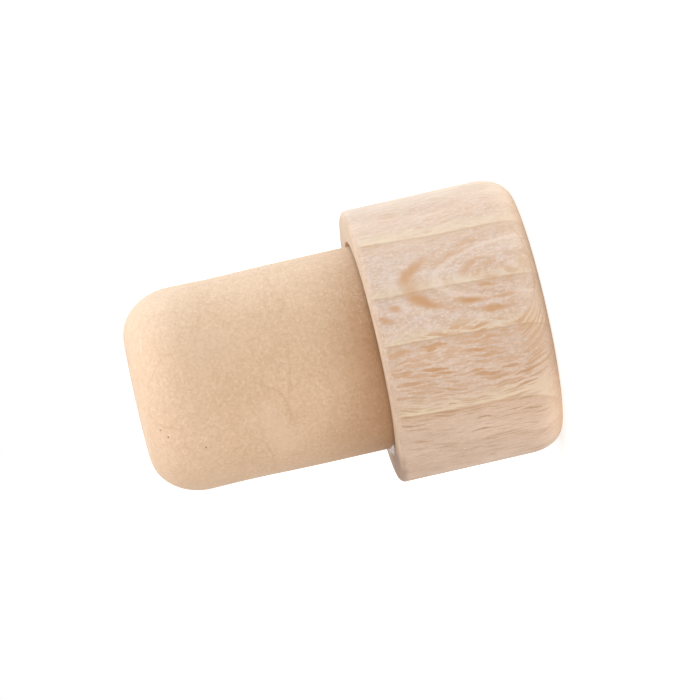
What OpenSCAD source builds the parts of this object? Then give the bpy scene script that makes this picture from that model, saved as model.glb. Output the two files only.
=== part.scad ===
// Bar-top bottle stopper: a turned beech head with a straight cork shank glued into its underside.
//
// It stands on the flat top of the head, so the origin is the centre of that flat and +Z runs
// along the stopper's axis to the tip of the shank. All sizes are in millimetres.

/* [Head] */
// Diameter of the head
head_d = 28; // [26:0.5:40]
// Height of the head, from its flat top to its underside
head_h = 17; // [13:0.5:30]
// How far the rounding of the top edge reaches in across the flat top
top_round_in = 2.2; // [1:0.1:5]
// How far the rounding of the top edge reaches along the side
top_round_along = 3.3; // [1:0.1:8]
// Radius that breaks the edge round the underside
rim_r = 0.6; // [0.2:0.1:1.5]

/* [Shank] */
// Diameter of the straight part of the shank, which fills the neck of the bottle
shank_d = 20.8; // [12:0.2:25]
// Length of the shank that stands clear of the head
shank_len = 24; // [16:0.5:40]
// How far the rounding of the tip reaches in across its flat end
tip_round_in = 4.4; // [1:0.1:9]
// How far the rounding of the tip reaches along the side
tip_round_along = 5.4; // [1:0.1:12]

/* [Socket and glue] */
// Depth of the blind socket in the underside of the head
socket_depth = 7; // [4:0.5:11]
// Chamfer round the mouth of the socket
mouth_chamfer = 0.3; // [0.1:0.1:0.8]
// Room for glue between the shank and the wall of the socket
glue_gap = 0.15; // [0.1:0.05:0.4]
// Thickness of the glue between the foot of the shank and the floor of the socket
glue_floor = 0.15; // [0.1:0.05:0.5]
// How far below the mouth of the socket the glue stops, away from the bead
glue_drop = 1.2; // [0.5:0.1:3]
// How much the radius of the shank shrinks from its straight part to its foot
seat_draft = 0.2; // [0.1:0.05:0.4]
// Chamfer round the foot of the shank
foot_chamfer = 0.5; // [0.2:0.1:1]
// Length of the bead of glue squeezed out at one side, measured along the shank's wall
bead_len = 8; // [4:0.5:11]
// How far the bead reaches out across the underside of the head
bead_reach = 0.8; // [0.4:0.1:1.4]
// How far the bead climbs the wall of the shank
bead_h = 0.45; // [0.2:0.05:0.8]

/* [Hidden] */

$fa = 3;
$fs = 0.3;

// Straight steps that make up each rounding
round_steps = 16;
// Play that carries a cut past the face it opens
past = 1;
// The straight part of the shank starts this far above the bead of glue
bead_clear = 0.15;

head_r = head_d / 2;
shank_r = shank_d / 2;
socket_r = shank_r + glue_gap;

socket_floor_z = head_h - socket_depth;
foot_z = socket_floor_z + glue_floor;
foot_r = shank_r - seat_draft;
straight_z = head_h + bead_h + bead_clear;
tip_z = head_h + shank_len;
glue_z = head_h - glue_drop;
// Middle of the flat land between the socket's mouth and the edge of the underside
land_mid_r = (socket_r + mouth_chamfer + head_r - rim_r) / 2;

// The bead is the part of a ball of glue that shows in the corner between shank and underside.
// Its outline on the underside is a circle through the bead's two ends and its farthest point.
bead_half = bead_len / 2;
bead_far = shank_r + bead_reach;
bead_span = bead_far - sqrt(pow(shank_r, 2) - pow(bead_half, 2));
bead_outline_r = (pow(bead_span, 2) + pow(bead_half, 2)) / (2 * bead_span);
bead_axis_x = bead_far - bead_outline_r;
// The ball's centre lies deep enough for the bead to climb the wall by bead_h
bead_sink = (pow(bead_outline_r, 2) - pow(shank_r - bead_axis_x, 2) - pow(bead_h, 2)) / (2 * bead_h);
bead_ball_r = sqrt(pow(bead_outline_r, 2) + pow(bead_sink, 2));

beech = [0.87, 0.76, 0.66];
cork = [0.84, 0.70, 0.55];
dried_glue = [0.90, 0.87, 0.80];

// Points of an elliptical rounding, from a flat end at height 0 up to the side at radius r
function rounding(r, round_in, round_along) = [
    for (i = [0 : round_steps])
        let (a = 90 * i / round_steps)
        [r - round_in * (1 - sin(a)), round_along * (1 - cos(a))]
];

// The same points upside down, with their flat end at height z and in the order that starts at the side
function flipped(points, z) = [
    for (i = [len(points) - 1 : -1 : 0]) [points[i].x, z - points[i].y]
];

module head_outline() {
    polygon(concat(
        [[0, 0]],
        rounding(head_r, top_round_in, top_round_along),
        [[head_r, head_h], [0, head_h]]
    ));
}

// What breaking the edge round the underside takes off the outline
module rim_waste() {
    difference() {
        translate([head_r - rim_r, head_h - rim_r]) square(rim_r + past);
        translate([head_r - rim_r, head_h - rim_r]) circle(rim_r);
    }
}

module socket_outline() {
    translate([0, socket_floor_z]) square([socket_r, socket_depth + past]);
    polygon([
        [0, head_h - mouth_chamfer],
        [socket_r, head_h - mouth_chamfer],
        [socket_r + mouth_chamfer + past, head_h + past],
        [0, head_h + past],
    ]);
}

module head_solid() {
    rotate_extrude() difference() {
        head_outline();
        rim_waste();
        socket_outline();
    }
}

// The seated end shrinks a little towards the foot, so that it starts easily in the socket
module shank_solid() {
    rotate_extrude() polygon(concat(
        [
            [0, foot_z],
            [foot_r - foot_chamfer, foot_z],
            [foot_r, foot_z + foot_chamfer],
            [shank_r, straight_z],
        ],
        flipped(rounding(shank_r, tip_round_in, tip_round_along), tip_z),
        [[0, tip_z]]
    ));
}

// Everything that glue could fill: the socket up to glue_z, and the ball's share of the mouth and the corner
module glue_room() {
    translate([0, 0, socket_floor_z]) cylinder(r = socket_r, h = glue_z - socket_floor_z);
    intersection() {
        translate([-bead_axis_x, 0, head_h - bead_sink]) sphere(bead_ball_r);
        union() {
            translate([0, 0, glue_z - past / 2]) cylinder(r = land_mid_r, h = glue_drop + past / 2);
            translate([0, 0, head_h]) cylinder(r = bead_far + past, h = bead_h + past);
        }
    }
}

module head() {
    color(beech) head_solid();
}

module shank() {
    color(cork) shank_solid();
}

module glue() {
    color(dried_glue) difference() {
        glue_room();
        head_solid();
        shank_solid();
    }
}

head();
shank();
glue();
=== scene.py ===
"""A bar-top bottle stopper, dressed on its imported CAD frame.

The stopper stands on the flat top of its turned beech head, with the pressed cork shank upward and a
bead of glue squeezed out at one side of the joint. Every length in this file is in metres, written as
millimetres times MM, except inside the materials, whose patterns work in millimetres.
"""

from __future__ import annotations

import logging
import math
import random
from dataclasses import dataclass
from enum import Enum
from typing import Any, Iterable, Mapping

import bmesh
import bpy
from mathutils import Euler, Matrix, Vector

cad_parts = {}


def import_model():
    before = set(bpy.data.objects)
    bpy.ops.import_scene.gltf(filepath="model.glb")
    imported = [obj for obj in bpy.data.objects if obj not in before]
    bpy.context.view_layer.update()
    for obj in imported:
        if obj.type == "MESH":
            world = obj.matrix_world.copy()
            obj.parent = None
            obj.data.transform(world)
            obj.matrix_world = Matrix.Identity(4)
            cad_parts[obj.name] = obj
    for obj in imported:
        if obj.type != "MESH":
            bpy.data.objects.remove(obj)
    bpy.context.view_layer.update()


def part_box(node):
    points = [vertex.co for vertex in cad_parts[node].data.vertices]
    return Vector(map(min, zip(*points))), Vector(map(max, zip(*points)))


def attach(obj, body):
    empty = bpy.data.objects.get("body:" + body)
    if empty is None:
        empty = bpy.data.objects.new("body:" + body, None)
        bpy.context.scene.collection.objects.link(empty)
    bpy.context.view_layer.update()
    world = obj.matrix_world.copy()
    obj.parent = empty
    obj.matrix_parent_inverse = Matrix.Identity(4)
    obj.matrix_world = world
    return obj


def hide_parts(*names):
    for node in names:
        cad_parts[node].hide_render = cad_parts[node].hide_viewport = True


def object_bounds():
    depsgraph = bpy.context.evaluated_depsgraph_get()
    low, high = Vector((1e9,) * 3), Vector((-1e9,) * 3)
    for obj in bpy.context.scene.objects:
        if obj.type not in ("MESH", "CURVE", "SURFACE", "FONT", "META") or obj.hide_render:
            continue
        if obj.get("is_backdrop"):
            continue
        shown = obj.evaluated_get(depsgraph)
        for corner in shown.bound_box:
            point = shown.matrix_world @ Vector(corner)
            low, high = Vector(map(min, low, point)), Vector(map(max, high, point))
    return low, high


LOG = logging.getLogger("stopper")
MM = 0.001
PER_METRE = 1000.0
# Edges that bend more than this stay sharp
CREASE = math.radians(32)
# Points of a finished mesh that lie closer than this are one point
WELD = 0.0005 * MM
BODY = "root"
# The radius of the shank's skin in millimetres, for what is drawn on it unrolled
SKIN_RADIUS = 10.4
# The share of a soft spot's reach within which it has its full strength
CORE_SHARE = 0.3
# The middle of a noise's colour, which is taken off to push a place both ways
MIDDLING = (0.5, 0.5, 0.5)

Point = tuple[float, float]
Triple = tuple[float, float, float]
Node = bpy.types.Node
Socket = bpy.types.NodeSocket


class Slot(Enum):
    """Names of the material slots."""

    BEECH = "beech"
    CORK = "cork"
    GLUE = "dried_glue"


# ---- Small tools ----


def linear(colour: str) -> tuple[float, float, float, float]:
    """Turn an sRGB hex colour into linear light.

    Args:
        colour: six hex digits after a #, such as "#DDBFA6".

    Returns:
        Linear red, green, blue and an alpha of 1.
    """
    parts = [int(colour[i : i + 2], 16) / 255 for i in (1, 3, 5)]
    red, green, blue = (c / 12.92 if c <= 0.04045 else ((c + 0.055) / 1.055) ** 2.4 for c in parts)
    return red, green, blue, 1.0


def add_node(
    tree: bpy.types.NodeTree, kind: str, inputs: Mapping[str | int, Any] | None = None, **settings: Any
) -> Node:
    """Add one node with its settings, values and links.

    Args:
        tree: the tree that takes the node.
        kind: the node's type name.
        inputs: for each input, by name or index, a value, a socket, or a node whose first live output
            is meant.
        **settings: properties of the node itself, set before its inputs.

    Returns:
        The new node.
    """
    node = tree.nodes.new(kind)
    for name, value in settings.items():
        setattr(node, name, value)
    for key, value in (inputs or {}).items():
        socket = node.inputs[key] if isinstance(key, int) else _live(node.inputs, key)
        if isinstance(value, Node):
            value = _live(value.outputs)
        if isinstance(value, Socket):
            tree.links.new(value, socket)
        else:
            socket.default_value = value
    return node


def _live(sockets: Iterable[Socket], name: str | None = None) -> Socket:
    """The first enabled socket, or the first enabled one of that name."""
    return next(s for s in sockets if s.enabled and name in (None, s.name))


def ramp_stops(node: Node, stops: Iterable[tuple[float, tuple[float, ...]]]) -> Node:
    """Give a colour ramp its stops.

    Args:
        node: a Color Ramp node.
        stops: position from 0 to 1 and linear colour of each stop, in rising order.

    Returns:
        The same node.
    """
    elements = node.color_ramp.elements
    stops = list(stops)
    for _ in range(len(stops) - len(elements)):
        elements.new(1.0)
    for element, (position, colour) in zip(elements, stops):
        element.position = position
        element.color = colour
    return node


def ellipse_quarter(centre: Point, start: Point, end: Point, steps: int) -> list[Point]:
    """Points of a quarter ellipse.

    Args:
        centre: the ellipse's centre.
        start: where it starts, on one axis.
        end: where it ends, on the other axis.
        steps: how many straight steps it is made of.

    Returns:
        Its points, with the start and the end.
    """
    points = []
    for i in range(steps + 1):
        angle = math.pi / 2 * i / steps
        along, across = math.cos(angle), math.sin(angle)
        points.append(
            (
                centre[0] + (start[0] - centre[0]) * along + (end[0] - centre[0]) * across,
                centre[1] + (start[1] - centre[1]) * along + (end[1] - centre[1]) * across,
            )
        )
    return points


def evened(points: list[Point], step: float) -> list[Point]:
    """Split every stretch of an outline that is longer than a step.

    Args:
        points: the outline's points, as radius and height.
        step: the longest stretch allowed.

    Returns:
        The outline with points added on its straight stretches.
    """
    result = [points[0]]
    for (r0, z0), (r1, z1) in zip(points, points[1:]):
        parts = max(1, math.ceil(math.hypot(r1 - r0, z1 - z0) / step))
        result += [(r0 + (r1 - r0) * i / parts, z0 + (z1 - z0) * i / parts) for i in range(1, parts + 1)]
    return result


def plain_mesh(source: bpy.types.Object, name: str) -> bpy.types.Object:
    """Turn an object with live modifiers into a plain mesh piece and drop the source.

    Args:
        source: the object whose modifiers make the shape.
        name: the piece's name.

    Returns:
        The piece, at the origin, with closed seams and faces that point outwards.
    """
    depsgraph = bpy.context.evaluated_depsgraph_get()
    mesh = bpy.data.meshes.new_from_object(source.evaluated_get(depsgraph))
    source.modifiers.clear()
    bpy.data.objects.remove(source)
    mesh.name = name
    shell = bmesh.new()
    shell.from_mesh(mesh)
    bmesh.ops.remove_doubles(shell, verts=shell.verts, dist=WELD)
    bmesh.ops.recalc_face_normals(shell, faces=shell.faces)
    shell.to_mesh(mesh)
    shell.free()
    piece = bpy.data.objects.new(name, mesh)
    bpy.context.scene.collection.objects.link(piece)
    return piece


def dress(piece: bpy.types.Object, material: bpy.types.Material, slot: Slot, *nodes: str) -> None:
    """Give a piece its material and its place in the frame.

    Args:
        piece: the finished piece.
        material: what it is made of.
        slot: the material slot it stands for; not used.
        *nodes: the CAD nodes it stands for.
    """
    piece.data.materials.clear()
    piece.data.materials.append(material)
    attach(piece, BODY)
    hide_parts(*nodes)
    LOG.info("%s: %d faces, %s", piece.name, len(piece.data.polygons), material.name)


# ---- Geometry Nodes ----


@dataclass(frozen=True)
class NodeGroup:
    """A Geometry Nodes tree under construction, with its named inputs."""

    tree: bpy.types.NodeTree
    source: Node

    @classmethod
    def new(cls, name: str, inputs: Mapping[str, str]) -> NodeGroup:
        """Start a tree.

        Args:
            name: the tree's name.
            inputs: socket type of each named input, in order.

        Returns:
            The tree with its interface and its Group Input node.
        """
        tree = bpy.data.node_groups.new(name, "GeometryNodeTree")
        for label, kind in inputs.items():
            tree.interface.new_socket(name=label, in_out="INPUT", socket_type=kind)
        tree.interface.new_socket(name="Geometry", in_out="OUTPUT", socket_type="NodeSocketGeometry")
        return cls(tree, tree.nodes.new("NodeGroupInput"))

    def add(self, kind: str, inputs: Mapping[str | int, Any] | None = None, **settings: Any) -> Node:
        """Add a node to the tree."""
        return add_node(self.tree, kind, inputs, **settings)

    def given(self, name: str) -> Socket:
        """The socket that carries a named input."""
        return self.source.outputs[name]

    def add_creases(self, geometry: Node, limit: Any) -> Node:
        """Shade a shape smooth, apart from its sharp edges.

        Args:
            geometry: the shape.
            limit: the bend in radians from which an edge is sharp.

        Returns:
            The shaded shape.
        """
        smooth = self.add("GeometryNodeSetShadeSmooth", {"Geometry": geometry, "Shade Smooth": True})
        angle = self.add("GeometryNodeInputMeshEdgeAngle")
        crease = self.add(
            "FunctionNodeCompare",
            {0: angle.outputs["Unsigned Angle"], 1: limit},
            data_type="FLOAT",
            operation="GREATER_THAN",
        )
        return self.add(
            "GeometryNodeSetShadeSmooth",
            {"Geometry": smooth, "Selection": crease, "Shade Smooth": False},
            domain="EDGE",
        )

    def finish(self, geometry: Node, material: Socket) -> bpy.types.NodeTree:
        """End the tree in Realize Instances and Set Material.

        Args:
            geometry: the finished shape.
            material: what it is made of.

        Returns:
            The tree.
        """
        solid = self.add("GeometryNodeRealizeInstances", {"Geometry": geometry})
        faced = self.add("GeometryNodeSetMaterial", {"Geometry": solid, "Material": material})
        self.add("NodeGroupOutput", {0: faced})
        return self.tree


def apply_tree(
    piece: bpy.types.Object, tree: bpy.types.NodeTree, values: Mapping[str, Any]
) -> bpy.types.Object:
    """Put a tree on an object and set its inputs by identifier.

    Args:
        piece: the object that carries the tree.
        tree: the Geometry Nodes tree.
        values: value of each named input.

    Returns:
        The same object.
    """
    modifier = piece.modifiers.new(tree.name, "NODES")
    modifier.node_group = tree
    for item in tree.interface.items_tree:
        if item.in_out == "INPUT" and item.name in values:
            modifier[item.identifier] = values[item.name]
    return piece


class Lathe:
    """Turns an outline about the Z axis, as a lathe does.

    The outline is a line of points, given as radius and height. The tree sweeps it round a circle,
    closes the poles, and lets the surface sink a little here and there, never swell, so that the piece
    stays inside its true size.
    """

    STEPS = 288
    RING = 20 * MM
    POLE_GAP = 0.001 * MM

    def __init__(self) -> None:
        """Build the tree once for all turned pieces."""
        group = NodeGroup.new(
            "Turned body",
            {
                "Outline": "NodeSocketGeometry",
                "Steps": "NodeSocketInt",
                "Ring Radius": "NodeSocketFloat",
                "Unevenness": "NodeSocketFloat",
                "Patch Size": "NodeSocketFloat",
                "Crease": "NodeSocketFloat",
                "Material": "NodeSocketMaterial",
            },
        )
        outline = group.add("GeometryNodeMeshToCurve", {"Mesh": group.given("Outline")})
        ring = group.add(
            "GeometryNodeCurvePrimitiveCircle",
            {"Resolution": group.given("Steps"), "Radius": group.given("Ring Radius")},
        )
        swept = group.add("GeometryNodeCurveToMesh", {"Curve": ring, "Profile Curve": outline})
        merged = group.add("GeometryNodeMergeByDistance", {"Geometry": swept, "Distance": self.POLE_GAP})
        closed = group.add("GeometryNodeFlipFaces", {"Mesh": merged})
        place = group.add("GeometryNodeInputPosition")
        fineness = group.add("ShaderNodeMath", {0: 1.0, 1: group.given("Patch Size")}, operation="DIVIDE")
        spot = group.add("ShaderNodeVectorMath", {0: place, "Scale": fineness}, operation="SCALE")
        noise = group.add("ShaderNodeTexNoise", {"Vector": spot, "Scale": 1.0, "Detail": 2.0})
        sink = group.add("ShaderNodeMath", {0: noise, 1: group.given("Unevenness")}, operation="MULTIPLY")
        drop = group.add("ShaderNodeMath", {0: sink, 1: -1.0}, operation="MULTIPLY")
        normal = group.add("GeometryNodeInputNormal")
        offset = group.add("ShaderNodeVectorMath", {0: normal, "Scale": drop}, operation="SCALE")
        sunk = group.add("GeometryNodeSetPosition", {"Geometry": closed, "Offset": offset})
        creased = group.add_creases(sunk, group.given("Crease"))
        self.tree = group.finish(creased, group.given("Material"))

    def turn(
        self,
        name: str,
        outline: list[Point],
        material: bpy.types.Material,
        unevenness: float,
        patch: float,
    ) -> bpy.types.Object:
        """Turn an outline into a plain mesh.

        Args:
            name: the piece's name.
            outline: points as radius and height; its ends lie on the axis.
            material: what it is made of.
            unevenness: the most that the surface sinks.
            patch: size of the patches that sink together.

        Returns:
            The piece.
        """
        mesh = bpy.data.meshes.new(name + "_outline")
        edges = [(i, i + 1) for i in range(len(outline) - 1)]
        mesh.from_pydata([(r - self.RING, -z, 0.0) for r, z in outline], edges, [])
        carrier = bpy.data.objects.new(name + "_carrier", mesh)
        bpy.context.scene.collection.objects.link(carrier)
        values = {
            "Steps": self.STEPS,
            "Ring Radius": self.RING,
            "Unevenness": unevenness,
            "Patch Size": patch,
            "Crease": CREASE,
            "Material": material,
        }
        return plain_mesh(apply_tree(carrier, self.tree, values), name)


class Piercer:
    """Sinks small round pits into a closed piece, as lost grains leave them in a pressed skin.

    The centres come as loose points, so that each pit stays where it is put. The faces inside a pit
    carry the attribute "pit", which the material reads to paint them dark, as painted shade.
    """

    ATTRIBUTE = "pit"
    ROUNDNESS = 2

    def __init__(self) -> None:
        """Build the tree."""
        group = NodeGroup.new(
            "Pits",
            {
                "Body": "NodeSocketGeometry",
                "Centres": "NodeSocketObject",
                "Pit Radius": "NodeSocketFloat",
                "Smallest": "NodeSocketFloat",
                "Largest": "NodeSocketFloat",
                "Seed": "NodeSocketInt",
                "Crease": "NodeSocketFloat",
                "Material": "NodeSocketMaterial",
            },
        )
        chosen = group.add("GeometryNodeObjectInfo", {"Object": group.given("Centres")})
        centres = group.add("GeometryNodeMeshToPoints", {"Mesh": chosen.outputs["Geometry"]})
        ball = group.add(
            "GeometryNodeMeshIcoSphere",
            {"Radius": group.given("Pit Radius"), "Subdivisions": self.ROUNDNESS},
        )
        size = group.add(
            "FunctionNodeRandomValue",
            {"Min": group.given("Smallest"), "Max": group.given("Largest"), "Seed": group.given("Seed")},
            data_type="FLOAT",
        )
        balls = group.add(
            "GeometryNodeInstanceOnPoints", {"Points": centres, "Instance": ball, "Scale": size}
        )
        cutters = group.add("GeometryNodeRealizeInstances", {"Geometry": balls})
        marked = group.add(
            "GeometryNodeStoreNamedAttribute",
            {"Geometry": cutters, "Name": self.ATTRIBUTE, "Value": 1.0},
            data_type="FLOAT",
            domain="FACE",
        )
        plain = group.add(
            "GeometryNodeStoreNamedAttribute",
            {"Geometry": group.given("Body"), "Name": self.ATTRIBUTE, "Value": 0.0},
            data_type="FLOAT",
            domain="FACE",
        )
        cut = group.add(
            "GeometryNodeMeshBoolean",
            {"Mesh 1": plain, "Mesh 2": marked},
            operation="DIFFERENCE",
            solver="EXACT",
        )
        creased = group.add_creases(cut, group.given("Crease"))
        self.tree = group.finish(creased, group.given("Material"))

    def pierce(
        self,
        piece: bpy.types.Object,
        centres: list[Vector],
        radius: float,
        spread: Point,
        seed: int,
    ) -> bpy.types.Object:
        """Sink pits into a piece.

        Args:
            piece: the closed piece, which is used up.
            centres: centre of each pit.
            radius: radius of a pit of middling size.
            spread: smallest and largest share of that radius.
            seed: picks the size of each pit.

        Returns:
            The pierced piece.
        """
        name = piece.name
        marks = bpy.data.meshes.new(name + "_pit_centres")
        marks.from_pydata(centres, [], [])
        holder = bpy.data.objects.new(name + "_pit_centres", marks)
        bpy.context.scene.collection.objects.link(holder)
        values = {
            "Centres": holder,
            "Pit Radius": radius,
            "Smallest": spread[0],
            "Largest": spread[1],
            "Seed": seed,
            "Crease": CREASE,
            "Material": piece.data.materials[0],
        }
        pierced = plain_mesh(apply_tree(piece, self.tree, values), name)
        bpy.data.objects.remove(holder)
        return pierced


class Extruder:
    """Lays a bead of paste along an arc, thickest in the middle and thin at both ends."""

    def __init__(self) -> None:
        """Build the tree."""
        group = NodeGroup.new(
            "Bead",
            {
                "Section": "NodeSocketGeometry",
                "Path Radius": "NodeSocketFloat",
                "Start": "NodeSocketFloat",
                "Sweep": "NodeSocketFloat",
                "Steps": "NodeSocketInt",
                "Thinnest": "NodeSocketFloat",
                "Lump Size": "NodeSocketFloat",
                "Lump Share": "NodeSocketFloat",
                "Height": "NodeSocketFloat",
                "Material": "NodeSocketMaterial",
            },
        )
        section = group.add("GeometryNodeMeshToCurve", {"Mesh": group.given("Section")})
        arc = group.add(
            "GeometryNodeCurveArc",
            {
                "Resolution": group.given("Steps"),
                "Radius": group.given("Path Radius"),
                "Start Angle": group.given("Start"),
                "Sweep Angle": group.given("Sweep"),
            },
            mode="RADIUS",
        )
        share = group.add("GeometryNodeSplineParameter")
        turn = group.add("ShaderNodeMath", {0: share.outputs["Factor"], 1: math.pi}, operation="MULTIPLY")
        hump = group.add("ShaderNodeMath", {0: turn}, operation="SINE")
        full = group.add("ShaderNodeMath", {0: hump, 1: 2.0}, operation="POWER")
        place = group.add("GeometryNodeInputPosition")
        spot = group.add(
            "ShaderNodeVectorMath", {0: place, 1: group.given("Lump Size")}, operation="DIVIDE"
        )
        noise = group.add("ShaderNodeTexNoise", {"Vector": spot, "Scale": 1.0, "Detail": 1.0})
        lump = group.add(
            "ShaderNodeMapRange",
            {"Value": noise, "From Min": 0.3, "From Max": 0.7, "To Min": group.given("Lump Share")},
        )
        lumpy = group.add("ShaderNodeMath", {0: full, 1: lump}, operation="MULTIPLY")
        radius = group.add("ShaderNodeMath", {0: lumpy, 1: group.given("Thinnest")}, operation="MAXIMUM")
        path = group.add("GeometryNodeSetCurveRadius", {"Curve": arc, "Radius": radius})
        swept = group.add(
            "GeometryNodeCurveToMesh",
            {"Curve": path, "Profile Curve": section, "Scale": radius, "Fill Caps": True},
        )
        up = group.add("ShaderNodeCombineXYZ", {"Z": group.given("Height")})
        lifted = group.add("GeometryNodeTransform", {"Geometry": swept, "Translation": up})
        creased = group.add_creases(lifted, CREASE)
        self.tree = group.finish(creased, group.given("Material"))


# ---- Finishes ----


@dataclass(frozen=True)
class Shading:
    """A material under construction, with the two ways in which its amounts and colours are joined."""

    material: bpy.types.Material

    @classmethod
    def new(cls, name: str) -> Shading:
        """Start an empty material.

        Args:
            name: the material's name.

        Returns:
            The material, with no node yet.
        """
        material = bpy.data.materials.new(name)
        material.use_nodes = True
        material.node_tree.nodes.clear()
        return cls(material)

    def add(self, kind: str, inputs: Mapping[str | int, Any] | None = None, **settings: Any) -> Node:
        """Add a node to the material."""
        return add_node(self.material.node_tree, kind, inputs, **settings)

    def folded(self, operation: str, *amounts: Node | Socket) -> Node:
        """Fold any number of amounts into one.

        Args:
            operation: what is done to the total so far and the next amount, such as MULTIPLY.
            *amounts: the amounts, from the first to the last.

        Returns:
            The total.
        """
        total, *others = amounts
        for amount in others:
            total = self.add("ShaderNodeMath", {0: total, 1: amount}, operation=operation)
        return total

    def coated(
        self, colour: Node | tuple[float, ...], *coats: tuple[Node | Socket, Node | tuple[float, ...]]
    ) -> Node:
        """Lay coats over a colour.

        Args:
            colour: the bare colour.
            *coats: how much of each coat shows, from 0 to 1, and its colour, from the lowest coat up.

        Returns:
            The coated colour.
        """
        for amount, coat in coats:
            colour = self.add(
                "ShaderNodeMix", {"Factor": amount, "A": colour, "B": coat}, data_type="RGBA"
            )
        return colour

    def finish(self, surface: Node) -> bpy.types.Material:
        """Send a shader to the surface output."""
        self.add("ShaderNodeOutputMaterial", {"Surface": surface})
        return self.material


@dataclass(frozen=True)
class Mottle:
    """Soft uneven patches, with a fineness to the millimetre along each axis of a pattern.

    A patch starts to show where its noise passes the first limit and shows fully past the second. The
    amounts are how much shows between the patches and within them.
    """

    fineness: Triple
    detail: float
    limits: Point = (0.0, 1.0)
    amounts: Point = (0.0, 1.0)

    def noise(self, shading: Shading, place: Node) -> Node:
        """Spread the noise of the patches over a place in millimetres."""
        scaled = shading.add("ShaderNodeMapping", {"Vector": place, "Scale": self.fineness})
        return shading.add("ShaderNodeTexNoise", {"Vector": scaled, "Scale": 1.0, "Detail": self.detail})

    def shown(self, shading: Shading, place: Node) -> Node:
        """Spread the patches over a place in millimetres.

        Args:
            shading: the material.
            place: the place that the patches follow.

        Returns:
            How much shows.
        """
        return shading.add(
            "ShaderNodeMapRange",
            {
                "Value": self.noise(shading, place),
                "From Min": self.limits[0],
                "From Max": self.limits[1],
                "To Min": self.amounts[0],
                "To Max": self.amounts[1],
            },
        )


@dataclass(frozen=True)
class Fleck:
    """A broad ray fleck, where a ray lies flat in the surface.

    The flecks bend round one spot on the side where the rays face outwards. Each has its distance from
    that spot and its half width, in millimetres along the grain, and the direction in which it lies and
    half the angle that it takes up, in degrees, with 0 towards the underside.
    """

    radius: float
    half_width: float
    direction: float
    half_angle: float
    strength: float


@dataclass(frozen=True)
class RaySet:
    """Rays of one size, each a thin upright lens that runs outwards from the heart of the tree.

    The cell is the room that each ray has, in millimetres, across and along the grain. A ray fills
    between the smallest and the largest share of its cell, measured from its middle. It shows by its
    strength, times the bark share on the side towards the bark.
    """

    cell: Point
    smallest: float
    largest: float
    strength: float
    bark_share: float
    seed: float


@dataclass(frozen=True)
class Facing:
    """How the surface of the wood cuts its grain, as amounts from 0 to 1.

    For the rays, flat is 1 where they lie flat in the surface, cut is 1 where the surface cuts across
    them, few is the share of them that doesn't show, and swell is how much wider they are drawn. For
    the sides, bark is 1 towards the bark, heart is lower towards the heart, and front is 1 on the side
    that bears the broad flecks. For the ends, cross is 1 where the fibres end in the surface, end is
    how far it is the end grain of the flat top, edge how far it is a broken edge or the sanded
    underside, which are painted paler partly for wear and partly as painted light where these rounded
    edges catch the light, and rim is lower round the underside, where sanding blurs the marks.
    """

    flat: Node
    cut: Node
    few: Node
    swell: Node
    bark: Node
    heart: Node
    front: Node
    cross: Node
    end: Node
    edge: Node
    rim: Node


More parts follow.
